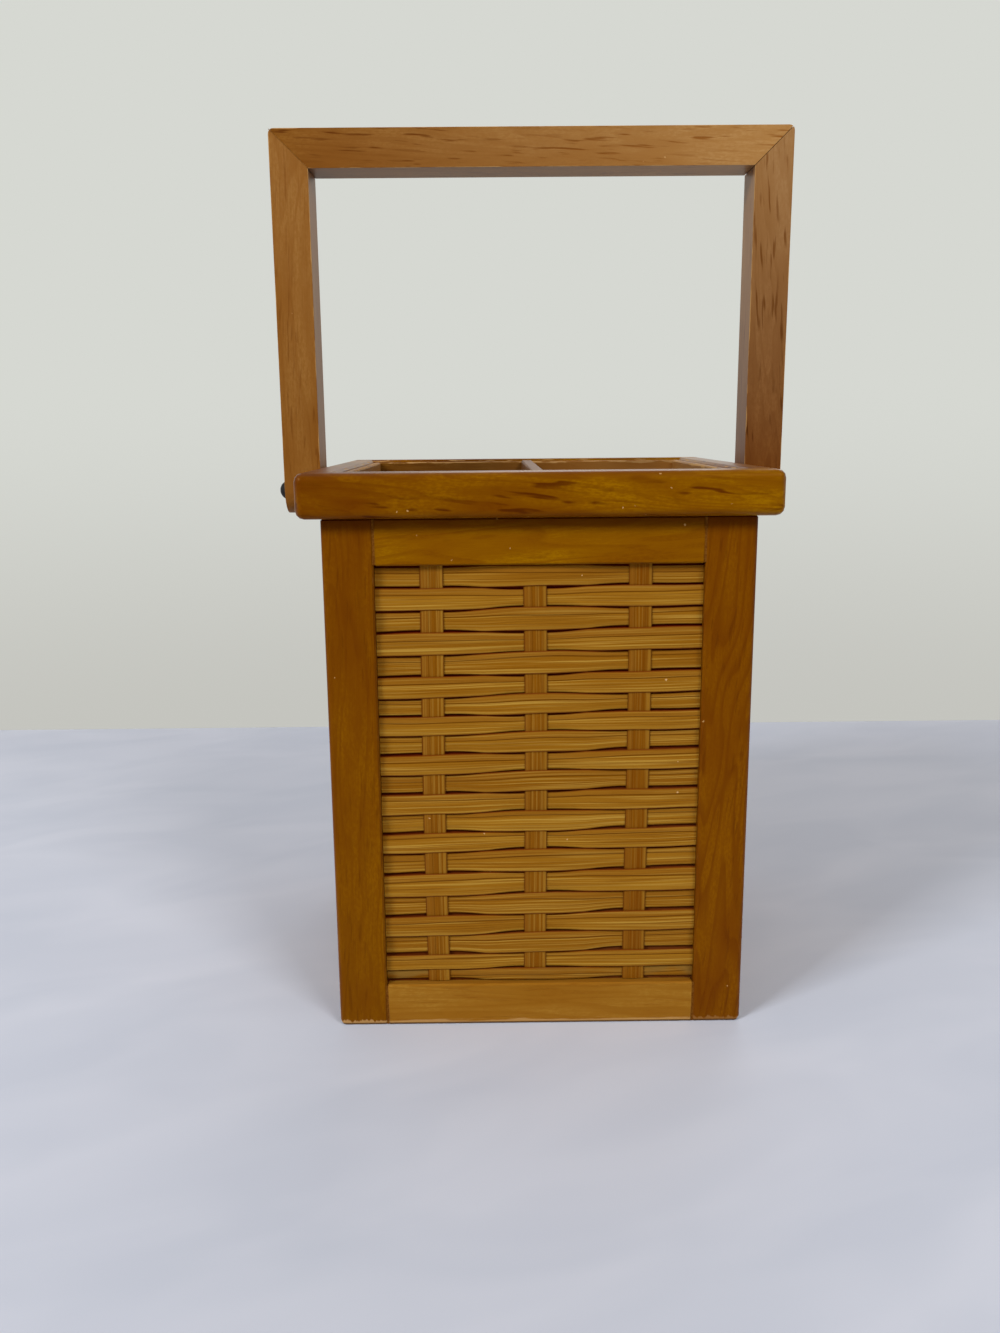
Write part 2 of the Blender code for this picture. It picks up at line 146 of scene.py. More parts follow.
def add(tree, kind, inputs=(), out=0, **settings):
    """Adds a node with its settings, gives its inputs their values or links, and returns one
    of its outputs. A list of inputs goes to the sockets in their order, which on a MapRange
    are the value, where it comes from and where it goes to."""
    own_name = kind.startswith(("Geometry", "Function", "Node"))
    node = tree.nodes.new(kind if own_name else f"ShaderNode{kind}")
    for name, value in settings.items():
        setattr(node, name, value)
    for name, value in inputs.items() if isinstance(inputs, dict) else enumerate(inputs):
        if isinstance(value, bpy.types.NodeSocket):
            tree.links.new(value, node.inputs[name])
        else:
            node.inputs[name].default_value = value
    return node.outputs[out] if node.outputs else node


def new_material(name):
    """A material without any nodes yet, and its tree."""
    material = bpy.data.materials.new(name)
    material.use_nodes = True
    material.node_tree.nodes.clear()
    return material, material.node_tree


def placed(name, data):
    """A new object in the scene at the origin, made of a mesh, a lamp or a camera."""
    thing = bpy.data.objects.new(name, data)
    bpy.context.scene.collection.objects.link(thing)
    return thing


def turned(side):
    """The matrix that turns places on the front round to a side, as rows times it."""
    turn = SIDES.index(side) * math.pi / 2
    cos, sin = round(math.cos(turn)), round(math.sin(turn))
    return np.array([[cos, sin, 0], [-sin, cos, 0], [0, 0, 1]])


# Patterns of the finishes

EASE = {"interpolation_type": "SMOOTHSTEP"}
SEED_SHIFT = (0.37, 0.53, 0.29)
CHIP_SHIFT = (0.13, 0.07, 0.19)
CHIP_SIZE, CHIP_RAGGED_SHARE = 0.0008, 1.6


def coats(tree, surface, *layers):
    """Colours laid over a surface in turn, each by its own share."""
    for share, colour in layers:
        surface = add(tree, "Mix", {0: share, 6: surface, 7: colour}, out=2, data_type="RGBA")
    return surface


def grain_noise(tree, axis, along, across, seed, detail=1.0, lean=0.0, distortion=0.0):
    """Noise drawn out along the grain: its patches are that long along the axis and that wide
    across it, and lean off it by a small angle."""
    size = [across] * 3
    size[axis] = along
    place = add(tree, "TexCoord", out="Object")
    shift = [seed * step for step in SEED_SHIFT]
    settings = {"Vector": place, "Location": shift, "Rotation": (lean, lean, lean), "Scale": size}
    place = add(tree, "Mapping", settings, vector_type="TEXTURE")
    inputs = {"Vector": place, "Scale": 1.0, "Detail": detail, "Distortion": distortion}
    return add(tree, "TexNoise", inputs)


def growth_rings(tree, axis, along, across, seed, turns, lean=0.0):
    """Contour lines of a slow noise, as a flat-sawn board shows its rings: 0 in the pale early
    wood, rising slowly to 1 in the dark late wood and dropping at once."""
    slow = grain_noise(tree, axis, along, across, seed, detail=1.5, lean=lean, distortion=0.4)
    count = add(tree, "Math", [slow, turns], operation="MULTIPLY")
    rise = add(tree, "Math", [count], operation="FRACT")
    late = add(tree, "MapRange", [rise, 0.35, 0.88], **EASE)
    drop = add(tree, "MapRange", [rise, 0.90, 1.0, 1.0, 0.0], **EASE)
    return add(tree, "Math", [late, drop], operation="MULTIPLY")


def edge_distance(tree, low, high, axis):
    """How far a point on a board is from its nearest long edge: the greater of its distances
    from the two pairs of faces along the grain."""
    place = add(tree, "TexCoord", out="Object")
    place = add(tree, "VectorMath", [place, (low + high) / 2], operation="SUBTRACT")
    place = add(tree, "VectorMath", [place], operation="ABSOLUTE")
    place = add(tree, "VectorMath", [(high - low) / 2, place], operation="SUBTRACT")
    parts = add(tree, "SeparateXYZ", [place]).node.outputs
    across = [parts[place] for place in range(3) if place != axis]
    return add(tree, "Math", across, operation="MAXIMUM")


def chips(tree, spacing, share, seed):
    """A few small ragged specks, one in each cell of a pattern whose own number is high."""
    place = add(tree, "TexCoord", out="Object")
    inputs = {"Vector": place, "Scale": 1 / CHIP_SIZE, "Detail": 2.0}
    ragged = add(tree, "TexNoise", inputs, out=1)
    ragged = add(tree, "VectorMath", [ragged, (0.5, 0.5, 0.5)], operation="SUBTRACT")
    inputs = {0: ragged, "Scale": CHIP_RAGGED_SHARE * CHIP_SIZE}
    ragged = add(tree, "VectorMath", inputs, operation="SCALE")
    place = add(tree, "VectorMath", [place, ragged], operation="ADD")
    shift = [seed * step for step in CHIP_SHIFT]
    place = add(tree, "Mapping", {"Vector": place, "Location": shift})
    spot = add(tree, "TexVoronoi", {"Vector": place, "Scale": 1 / spacing})
    number = add(tree, "SeparateColor", [spot.node.outputs[1]])
    chosen = add(tree, "Math", [number, 1 - share], operation="GREATER_THAN")
    radius = CHIP_SIZE / 2 / spacing
    inside = add(tree, "MapRange", [spot, 0.7 * radius, radius, 1.0, 0.0])
    return add(tree, "Math", [inside, chosen], operation="MULTIPLY")


# Finishes

# Lacquer that has yellowed, so that it mirrors little and in amber.
LACQUER = {"IOR": 1.5, "Specular IOR Level": 0.22, "Specular Tint": linear("#D79A4E")}

# The hardwood's figure, each as its length along the grain and its width across it: patches of
# stain, bands of rings, fibres, crowds of flecks, grit in the lacquer, and notches in worn
# edges. Fibres and grit are finer on real wood and are drawn as coarse as they need to show.
STAIN_PATCH = 0.045, 0.012
RING_BAND = 0.110, 0.011
RINGS_IN_BAND = 9.0
FIBRE = 0.016, 0.0004
FLECK_CROWD = 0.050, 0.006
FLECK_LEAN_FACTOR = 1.8
GRIT = 0.0016, 0.0007
NOTCH = 0.010, 0.0012
BOARD_CHIP_SPACING = 0.004
BARE_MOST = 0.85
# How far a worn edge moves with the notches' noise, and all over, in depths of wear.
NOTCH_FACTOR, EDGE_FACTOR = -5.0, 2.3
# Bands across a board, each as the two heights that it fades between: painted shade under
# the rim, measured down from the board's top, bare wood and painted shade along the lower edge,
# up from the table, and painted shade on the walls behind the mats, as dark as the gaps between
# the strips, down from the wall's top and up from its foot, where it starts at a share.
RIM_SHADE_BAND = 0.0060, 0.0005
BARE_BAND, BARE_RAGGED = (0.0030, 0.0037), 0.0030
FOOT_SHADE_BAND = 0.0008, 0.0012
GAP_SHADE_TOP_BAND, GAP_SHADE_FOOT_BAND = (0.018, 0.016), (0.018, 0.150)
GAP_SHADE_FOOT_SHARE = 0.65


def worn_wood(tree, box, axis, seed, worn, chipped, foot, height):
    """Where a board shows bare wood: a ragged line along its long edges as deep as worn says,
    some chips, and a band just over the table."""
    ragged = grain_noise(tree, axis, *NOTCH, seed + 5, detail=3.0)
    bite = [ragged, NOTCH_FACTOR * worn, EDGE_FACTOR * worn]
    bite = add(tree, "Math", bite, operation="MULTIPLY_ADD")
    edge = add(tree, "Math", [edge_distance(tree, *box, axis), bite], operation="SUBTRACT")
    bare = add(tree, "MapRange", [edge, 0.6 * worn, worn, 1.0, 0.0], **EASE)
    spot = chips(tree, BOARD_CHIP_SPACING, chipped, seed)
    bare = add(tree, "Math", [bare, spot], operation="MAXIMUM")
    if foot:
        rubbed = add(tree, "Math", [ragged, BARE_RAGGED, height], operation="MULTIPLY_ADD")
        rubbed = add(tree, "MapRange", [rubbed, *BARE_BAND, foot, 0.0], **EASE)
        bare = add(tree, "Math", [bare, rubbed], operation="MAXIMUM")
    return add(tree, "Math", [bare, BARE_MOST], operation="MULTIPLY")


def gap_shade_behind_mat(tree, box, place):
    """The part of a wall that a mat hides, which gets painted shade as dark as the gaps between
    the strips: the outer half of its thickness, between the rails, and less of it towards the foot."""
    low, high = box
    thin = int(np.argmin(high - low))
    middle = (low + high)[thin] / 2
    outer = add(tree, "MapRange", [place[thin], middle, 1.01 * middle])
    band = [high[2] - drop for drop in GAP_SHADE_TOP_BAND]
    below = add(tree, "MapRange", [place[2], *band, 1.0, 0.0])
    band = [low[2] + rise for rise in GAP_SHADE_FOOT_BAND]
    above = add(tree, "MapRange", [place[2], *band, GAP_SHADE_FOOT_SHARE, 1.0])
    hidden = add(tree, "Math", [outer, below], operation="MULTIPLY")
    return add(tree, "Math", [hidden, above], operation="MULTIPLY")


def stained_hardwood(
    name, box, tone, seed, painted_light_far_tone=None, level=False, rings=0.5, fibres=0.4, flecks=0.5,
    fleck_size=(0.013, 0.0009), lean=0.02, mottle=0.20, worn=0.0002, chipped=0.04, foot=0.0,
    shaded_under_rim=False, gap_shade_tone=None, rough=0.39,
):
    """Flat-sawn ring-porous hardwood, stained honey brown and sprayed with satin lacquer that
    has yellowed. The eye sees growth rings 3 to 4 mm apart as long wavy lines, dark flecks 5
    to 10 mm long where the stain filled the pores, fine fibres, uneven stain, and pale wood
    where the edges are worn. Painted shade darkens the wood close under the rim and along the
    lower edge.

    The grain runs the longest way, or the longest level way on a level board, and the tone
    goes over to the far tone along it, which paints light and shade that change along the board.
    The tone on the walls behind the mats is painted shade, as dark as the gaps between the strips.
    Rings, fibres and flecks are how strongly these show, worn is the depth of the edges' wear,
    chipped the share of places with a chip, and foot how bare the wood is over the table and
    whether painted shade lies along the lower edge."""
    material, tree = new_material(name)
    low, high = box
    axis = int(np.argmax((high - low)[:2 if level else 3]))
    place = add(tree, "SeparateXYZ", [add(tree, "TexCoord", out="Object")]).node.outputs
    far = add(tree, "MapRange", [place[axis], low[axis], high[axis]])
    height = place[2]

    stain = grain_noise(tree, axis, *STAIN_PATCH, seed, detail=2.0, lean=lean)
    stain = add(tree, "MapRange", [stain, 0.30, 0.70], **EASE)
    ring = growth_rings(tree, axis, *RING_BAND, seed + 1, RINGS_IN_BAND, lean)
    ring = add(tree, "Math", [ring, rings], operation="MULTIPLY")
    fibre = grain_noise(tree, axis, *FIBRE, seed + 2, lean=lean)
    fibre = add(tree, "MapRange", [fibre, 0.35, 0.72, 0.0, fibres], **EASE)
    fleck = grain_noise(tree, axis, *fleck_size, seed + 3, lean=FLECK_LEAN_FACTOR * lean)
    fleck = add(tree, "MapRange", [fleck, 0.56, 0.72], **EASE)
    crowd = grain_noise(tree, axis, *FLECK_CROWD, seed + 4)
    crowd = add(tree, "MapRange", [crowd, 0.38, 0.58, 0.2, 1.0], **EASE)
    fleck = add(tree, "Math", [fleck, crowd], operation="MULTIPLY")
    shown = add(tree, "Math", [fleck, flecks], operation="MULTIPLY")
    grit = grain_noise(tree, axis, *GRIT, seed + 6, detail=2.0)
    grit = add(tree, "MapRange", [grit, 0.35, 0.65, 0.0, 0.55], **EASE)

    bare = worn_wood(tree, box, axis, seed, worn, chipped, foot, height)
    rim_shade = foot_shade = hidden = 0.0
    # Painted shade: the wood darkens close under the rim.
    if shaded_under_rim:
        band = [high[2] - drop for drop in RIM_SHADE_BAND]
        rim_shade = add(tree, "MapRange", [height, *band, 0.0, 0.75], **EASE)
    # Painted shade along the lower edge, just over the table.
    if foot:
        foot_shade = add(tree, "MapRange", [height, *FOOT_SHADE_BAND, 0.85, 0.0], **EASE)
    # Painted shade on the wall behind the mat, as dark as the gaps between the strips.
    if gap_shade_tone:
        hidden = gap_shade_behind_mat(tree, box, place)

    # Painted light and shade: the tone goes over to the far tone along the board.
    def stained(depth):
        return coats(tree, linear(tone, depth), (far, linear(painted_light_far_tone or tone, depth)))

    surface = coats(
        tree, stained(1 - mottle / 2),
        (stain, stained(1 + mottle / 2)),
        (ring, stained(1.32)),
        (fibre, stained(1.20)),
        (grit, stained(1.10)),
        (shown, stained(1.65)),
        (rim_shade, linear("#521E00")),
        (hidden, linear(gap_shade_tone or tone)),
        (bare, linear("#BF935A")),
        (foot_shade, linear("#4C3420")),
    )
    relief = add(tree, "Math", [bare, 1.5, fleck], operation="MULTIPLY_ADD")
    relief = add(tree, "Math", [fibre, 0.5, relief], operation="MULTIPLY_ADD")
    inputs = {"Height": relief, "Strength": 0.7, "Distance": 0.00004}
    normal = add(tree, "Bump", inputs, invert=True)
    gloss = add(tree, "Math", [bare, 0.3, rough], operation="MULTIPLY_ADD")
    inputs = {"Base Color": surface, "Roughness": gloss, "Normal": normal, **LACQUER}
    add(tree, "OutputMaterial", [add(tree, "BsdfPrincipled", inputs)])
    return material


# How far apart in tone two strips are when their fibres have nothing in common.
FIBRE_TONE_STEP = 0.021


def split_bamboo(name, tone):
    """Split bamboo strips, stained and lacquered after weaving. The eye sees straight fibres
    0.3 to 0.5 mm apart along each strip, one deeper groove a third of the way down with a
    duller band above it, and strips of slightly different tone. A painted highlight makes each
    strip's lower edge paler, and painted shade darkens its edges, where the gaps between the
    strips fall dark. U runs along a strip in metres, and V across it from 0 to 1."""
    material, tree = new_material(name)
    along, across = add(tree, "SeparateXYZ", [add(tree, "UVMap", uv_map="strip")]).node.outputs[:2]
    strip = add(tree, "Attribute", out="Fac", attribute_name="tone")
    raw = add(tree, "Attribute", out="Fac", attribute_name="raw")

    def fibres(length, width, low, high, most=1.0, detail=1.0):
        place = add(tree, "CombineXYZ", [along, across, strip])
        size = (length, width / WEAVER_WIDTH, FIBRE_TONE_STEP)
        place = add(tree, "Mapping", {"Vector": place, "Scale": size}, vector_type="TEXTURE")
        noise = add(tree, "TexNoise", {"Vector": place, "Scale": 1.0, "Detail": detail})
        return add(tree, "MapRange", [noise, low, high, 0.0, most], **EASE)

    def line(middle, inner, outer, most):
        away = add(tree, "Math", [across, middle], operation="SUBTRACT")
        away = add(tree, "Math", [away], operation="ABSOLUTE")
        return add(tree, "MapRange", [away, inner, outer, most, 0.0], **EASE)

    plain = add(tree, "MapRange", [strip, 0.0, 0.5, 0.20, 0.9])
    drift = fibres(length=0.090, width=0.030, low=0.25, high=0.75)
    upper = add(tree, "Math", [drift, 0.16, 0.62], operation="MULTIPLY_ADD")
    lower = add(tree, "Math", [drift, -0.14, 0.42], operation="MULTIPLY_ADD")
    groove = line(upper, inner=0.010, outer=0.042, most=0.90)
    groove = add(tree, "Math", [groove, plain], operation="MULTIPLY")
    above = add(tree, "Math", [across, upper], operation="SUBTRACT")
    above = add(tree, "MapRange", [above, 0.0, 0.03, 0.0, 0.42])
    faint = line(lower, inner=0.004, outer=0.030, most=0.40)
    broken = fibres(length=0.035, width=0.030, low=0.40, high=0.55)
    faint = add(tree, "Math", [faint, broken], operation="MULTIPLY")
    # Painted highlight: each strip's lower edge is paler.
    lower_edge_highlight = add(tree, "MapRange", [across, 0.10, 0.20, 0.45, 0.0], **EASE)
    # Painted shade: each strip darkens along its edges, where the gaps between the strips fall
    # dark.
    side = line(0.5, inner=0.49, outer=0.43, most=0.85)
    mottle = fibres(length=0.040, width=0.0040, low=0.35, high=0.65, most=0.5, detail=2.0)
    dark = fibres(length=0.050, width=0.0003, low=0.48, high=0.70, most=0.8)
    lit = fibres(length=0.060, width=0.00055, low=0.46, high=0.70)
    lit = add(tree, "Math", [lit, plain], operation="MULTIPLY")
    patch = fibres(length=0.012, width=0.0030, low=0.35, high=0.60, detail=2.0)
    raw = add(tree, "Math", [raw, patch], operation="MULTIPLY")
    spot = chips(tree, spacing=0.005, share=0.04, seed=3)

    surface = coats(
        tree, linear(tone, 1.44),
        (strip, linear(tone, 0.88)),
        (mottle, linear(tone, 1.12)),
        (lit, linear(tone, 0.64)),
        (dark, linear("#7E4C0C")),
        (above, linear("#885616")),
        (faint, linear("#6C3C04")),
        (groove, linear("#5A2E00")),
        (lower_edge_highlight, linear(tone, 0.76)),
        (side, coats(tree, linear("#583004"), (plain, linear("#641800")))),
        (raw, linear("#8A6428")),
        (spot, linear("#D0A870")),
    )
    relief = add(tree, "Math", [groove, 2.0, dark], operation="MULTIPLY_ADD")
    inputs = {"Height": relief, "Strength": 0.7, "Distance": 0.00005}
    normal = add(tree, "Bump", inputs, invert=True)
    inputs = {"Base Color": surface, "Roughness": 0.42, "Normal": normal, **LACQUER}
    add(tree, "OutputMaterial", [add(tree, "BsdfPrincipled", inputs)])
    return material


def stained_glue(name, tone):
    """Wood glue and filler that took up the stain, a thin matt line of slightly uneven tone."""
    material, tree = new_material(name)
    uneven = grain_noise(tree, axis=1, along=0.002, across=0.0006, seed=9, detail=2.0)
    uneven = add(tree, "MapRange", [uneven, 0.35, 0.65])
    surface = coats(tree, linear(tone, 1.1), (uneven, linear(tone, 0.85)))
    inputs = {"Base Color": surface, "Roughness": 0.6, **LACQUER}
    add(tree, "OutputMaterial", [add(tree, "BsdfPrincipled", inputs)])
    return material


def black_steel():
    """Steel screws with a black oxide finish: near black, satin, with a fine uneven sheen, whose
    grain is drawn as coarse as it needs to show."""
    material, tree = new_material("black_oxide_steel")
    mottle = grain_noise(tree, axis=0, along=0.0006, across=0.0006, seed=4, detail=2.0)
    share = add(tree, "MapRange", [mottle, 0.4, 0.7])
    surface = coats(tree, linear("#0E0D0C"), (share, linear("#1D1B19")))
    gloss = add(tree, "MapRange", [mottle, 0.3, 0.7, 0.48, 0.60])
    inputs = {"Base Color": surface, "Roughness": gloss, "IOR": 1.5, "Specular IOR Level": 0.2}
    add(tree, "OutputMaterial", [add(tree, "BsdfPrincipled", inputs)])
    return material


# The imported boards

# Each board's tone and far tone, how strongly its rings, fibres and flecks show, how its edges,
# its face and its foot are worn, and how rough its lacquer is. The change from tone to far tone
# along a board is painted light and shade, and the boards under the rim, the feet and the walls
# behind the mats carry painted shade.
BOARDS = {
    # Painted shade: the left stiles' far tone darkens them towards the rim.
    "left_stile": dict(
        tone="#7C4900", painted_light_far_tone="#754000", rings=0.35, fibres=0.3, flecks=0.30, foot=0.9,
        shaded_under_rim=True,
    ),
    "right_stile": dict(
        tone="#7A4400", rings=0.55, fibres=0.3, flecks=0.30, lean=0.05, foot=0.3, shaded_under_rim=True,
    ),
    "top_rail": dict(
        tone="#8A5700", rings=0.60, flecks=0.20, lean=-0.06, mottle=0.30, chipped=0.14, shaded_under_rim=True,
    ),
    "bottom_rail": dict(tone="#9D6B1F", rings=0.50, flecks=0.25, foot=0.8),
    # Painted light: the rim boards' far tone makes them paler towards one end.
    "rim_board": dict(
        tone="#733E00", painted_light_far_tone="#875300", rings=0.40, fibres=0.3, flecks=0.90,
        fleck_size=(0.015, 0.0020), lean=0.05, mottle=0.40, worn=0.0006, chipped=0.16, rough=0.33,
    ),
    # Painted light: the walls' far tone makes them paler towards one end, against the lamps' shade;
    # their tone behind the mats is painted shade.
    "box_wall": dict(
        tone="#6E4410", painted_light_far_tone="#A47238", level=True, rings=0.3, flecks=0.4, worn=0.0008,
        gap_shade_tone="#600E00", rough=0.5,
    ),
    "bottom_board": dict(tone="#74460E", rings=0.3, flecks=0.4, rough=0.5),
    "divider": dict(tone="#6E4418", level=True, rings=0.3, flecks=0.4, worn=0.0003, rough=0.5),
    # Painted sheen: the handle's far tones make the legs paler towards the top and the bar paler
    # towards the right.
    "left_leg": dict(
        tone="#8C5B23", painted_light_far_tone="#95642E", rings=0.35, fibres=0.3, flecks=0.40, lean=0.03,
    ),
    "right_leg": dict(
        tone="#663204", painted_light_far_tone="#A2784A", rings=0.35, fibres=0.2, flecks=0.90,
        fleck_size=(0.030, 0.0012), lean=-0.04,
    ),
    "handle_bar": dict(
        tone="#825019", painted_light_far_tone="#B08149", rings=0.30, fibres=0.25, flecks=0.90,
        fleck_size=(0.016, 0.0011), lean=0.03,
    ),
}


def smoothing():
    """A modifier's node group: joins the loose triangles, and shades round edges smooth and
    corners sharp."""
    tree = bpy.data.node_groups.new("smooth_round_edges", "GeometryNodeTree")
    for way in ("INPUT", "OUTPUT"):
        tree.interface.new_socket("Geometry", in_out=way, socket_type="NodeSocketGeometry")
    shape = add(tree, "NodeGroupInput")
    shape = add(tree, "GeometryNodeRemoveAttribute", {0: shape, "Name": "custom_normal"})
    inputs = {"Geometry": shape, "Distance": MERGE_DISTANCE}
    shape = add(tree, "GeometryNodeMergeByDistance", inputs)
    inputs = {0: shape, "Shade Smooth": True}
    shape = add(tree, "GeometryNodeSetShadeSmooth", inputs, domain="FACE")
    angle = add(tree, "GeometryNodeInputMeshEdgeAngle")
    sharp = add(tree, "FunctionNodeCompare", [angle, BOARD_SHARP_ANGLE], operation="GREATER_THAN")
    inputs = {0: shape, "Selection": sharp, "Shade Smooth": False}
    shape = add(tree, "GeometryNodeSetShadeSmooth", inputs, domain="EDGE")
    add(tree, "NodeGroupOutput", [shape])
    return tree


def dress(node, material, group):
    """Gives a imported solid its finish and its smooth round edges."""
    thing = frame["nodes"][node]
    thing.material_slots[0].material = material
    thing.modifiers.new("Smooth", "NODES").node_group = group
    thing.modifiers.new("Even", "WEIGHTED_NORMAL").keep_sharp = True


def dress_solids():
    """Dresses the screws and washers in steel, and every board in the look that its name ends
    with. The mats are left out, because their own pieces replace them."""
    group = smoothing()
    steel = black_steel()
    for index, node in enumerate(frame["nodes"]):
        if node.endswith(("screw", "washer")):
            dress(node, steel, group)
        elif not node.endswith("woven_mat"):
            look = next(look for end, look in BOARDS.items() if node.endswith(end))
            box = [np.array(corner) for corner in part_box(node)]
            wood = stained_hardwood(f"lacquered_{node}", box, seed=index + 1, **look)
            dress(node, wood, group)


# Glue lines

def plates(name, body, finish, corners):
    """Thin plates of glue in one piece, each from its eight corners. X changes first in their
    order and z last."""
    corners = np.reshape(corners, (-1, 8, 3))
    faces = [(0, 2, 3, 1), (4, 5, 7, 6), (0, 1, 5, 4), (2, 6, 7, 3), (0, 4, 6, 2), (1, 3, 7, 5)]
    faces = np.arange(len(corners))[:, None, None] * 8 + np.array(faces)
    mesh = bpy.data.meshes.new(name)
    mesh.from_pydata(corners.reshape(-1, 3).tolist(), [], faces.reshape(-1, 4).tolist())
    mesh.materials.append(finish)
    piece = placed(name, mesh)
    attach(piece, body)


def mitre_glue(side, finish, inset):
    """The line of glue in a mitre of the handle: a plate along the diagonal from the outer
    corner to the inner one, inset a little inside the wood all round."""
    low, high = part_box("handle_bar")
    leg = [corner.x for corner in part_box(f"handle_{side}_leg")]
    inner, outer = sorted(leg, key=abs)
    z = np.array([low.z + inset, high.z - MITRE_TOP_FACTOR * inset])
    middle = np.interp(z, [low.z, high.z], [inner, outer])
    end, front, across = np.meshgrid([0, 1], [-1, 1], [-1, 1], indexing="ij")
    x, y = middle[end] + across * MITRE_WIDTH / 2, front * (high.y - inset)
    plates(f"{side}_mitre_glue", "handle", finish, np.stack([x, y, z[end]], axis=-1))


def frame_glue(side, finish):
    """Filler in the four joints of a face frame, between each rail's ends and the stiles, up to
    a little below the face."""
    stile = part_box("front_right_stile")
    corners = []
    for rail in ("top", "bottom"):
        low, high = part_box(f"front_{rail}_rail")
        middle = (stile[0].x + high.x) / 2
        ends = [low.z + JOINT_INSET, high.z - JOINT_INSET]
        faces = [low.y + JOINT_INSET, high.y - JOINT_INSET]
        z, y, across = np.meshgrid(ends, faces, [-1, 1], indexing="ij")
        for sign in (-1, 1):
            corners.append(np.stack([sign * middle + across * JOINT_WIDTH / 2, y, z], axis=-1))
    corners = np.reshape(corners, (-1, 3)) @ turned(side)
    plates(f"{side}_frame_glue", "basket", finish, corners)


# The woven mats

def eased(at, knots, values):
    """Values at places between knots: flat at each knot, and a smoothstep from one to the next."""
    at = np.clip(at, knots[0], knots[-1])
    index = np.clip(np.searchsorted(knots, at, side="right") - 1, 0, len(knots) - 2)
    knots, values = np.asarray(knots), np.asarray(values)
    share = (at - knots[index]) / (knots[index + 1] - knots[index])
    share = share * share * (3 - 2 * share)
    return values[index] + (values[index + 1] - values[index]) * share


def strip_section():
    """The section of a strip as (across, out), both from -1 to 1: a superellipse whose front
    is crowned, up over the front and back down behind."""
    front = -np.cos(np.linspace(0, math.pi, FRONT_POINTS))
    back = np.cos(np.linspace(0, math.pi, BACK_POINTS))[1:-1]
    across = np.concatenate([front, back])
    out = np.sqrt(1 - np.abs(across) ** SECTION_POWER)
    out[:FRONT_POINTS] *= 1 - CROWN_SHARE * front ** 2
    out[FRONT_POINTS:] *= -1
    return across, out


def strip_faces(around):
    """Quads along and round each strip of a mat, and a face on each of its ends."""
    ring = np.arange(around)
    starts = np.arange(STATIONS - 1)[:, None] * around
    after = (ring + 1) % around
    corners = [starts + ring, starts + around + ring, starts + around + after, starts + after]
    quads = np.stack(corners, axis=-1).reshape(-1, 4)
    first = np.arange(STRIPS)[:, None] * STATIONS * around
    sides = (quads[None] + first[..., None]).reshape(-1, 4)
    last = first + (STATIONS - 1) * around
    return [*sides.tolist(), *(first + ring).tolist(), *(last + ring[::-1]).tolist()]


def row_lines(side, random):
    """The lines between the rows, one more than the rows: at each row's share of the height,
    plus a wander of two sine waves, plus a rise to the right that fades next to the rails."""
    share = np.array(ROW_EDGE_SHARES)[:, None]
    shift = random.uniform(0, 2 * math.pi, (2, ROWS + 1, 1))
    long, short = (2 * math.pi * ALONG / length for length in ROW_WANDER_LENGTHS)
    wander = np.sin(long + shift[0]) + 0.5 * np.sin(short + shift[1])
    wander[[0, -1]] = 0
    slanted = np.minimum(1, np.minimum(share / LEVEL_SHARES[0], (1 - share) / LEVEL_SHARES[1]))
    lines = MAT_LOW[2] + share * (MAT_HIGH[2] - MAT_LOW[2])
    return lines + ROW_WANDER * wander + ROW_RISE[side] * slanted * ALONG / (2 * HALF_LENGTH)


def weavers(side, random):
    """The weavers as places by row, station and point, and their bottom and top edges. Along a
    weaver the centre line is y = middle plane - lift * s(x), where s eases from 1 over an
    upright to -1 behind the next, and its edges are the row lines, spread where s > 0 and
    squeezed where s < 0. A row over the outer two uprights has s, and the next one -s."""
    across, out = strip_section()
    hold = STAKE_WIDTH * HOLD_SHARE
    knots = [stake + sign * hold for stake in STAKES for sign in (-1, 1)]
    knots = [-HALF_LENGTH, *knots, HALF_LENGTH]
    lift = eased(ALONG, knots, [END_SHARE, 1, 1, -1, -1, 1, 1, END_SHARE])
    lift = np.where(ROW_KINDS, 1, -1)[:, None] * lift
    over, under = np.maximum(lift, 0), np.maximum(-lift, 0)

    lines = row_lines(side, random)
    moves = random.uniform(EDGE_LEAST[ROW_KINDS], EDGE_MOST[ROW_KINDS]).T[..., None]
    top_out, bottom_out, top_in, bottom_in = moves
    squeeze = np.interp(ROW_EDGE_SHARES[1:], *SQUEEZE_SHARES)[:, None]
    top = lines[1:] - ROW_GAP / 2 + top_out * over - top_in * squeeze * under
    bottom = lines[:-1] + ROW_GAP / 2 - bottom_out * over + bottom_in * squeeze * under
    bottom[0] = np.maximum(bottom[0], MAT_LOW[2])
    top[-1] = np.minimum(top[-1], MAT_HIGH[2])

    cant = random.uniform(-WEAVER_CANT, WEAVER_CANT, (ROWS, 1, 1))
    centre, reach = (bottom + top) / 2, (top - bottom) / 2
    places = np.empty((ROWS, STATIONS, len(across), 3))
    places[..., 0] = ALONG[:, None]
    places[..., 1] = MAT_PLANE - WEAVER_LIFT * lift[..., None] - WEAVER_THICKNESS / 2 * out
    places[..., 1] += cant * across
    places[..., 2] = centre[..., None] + reach[..., None] * across
    return places, bottom, top


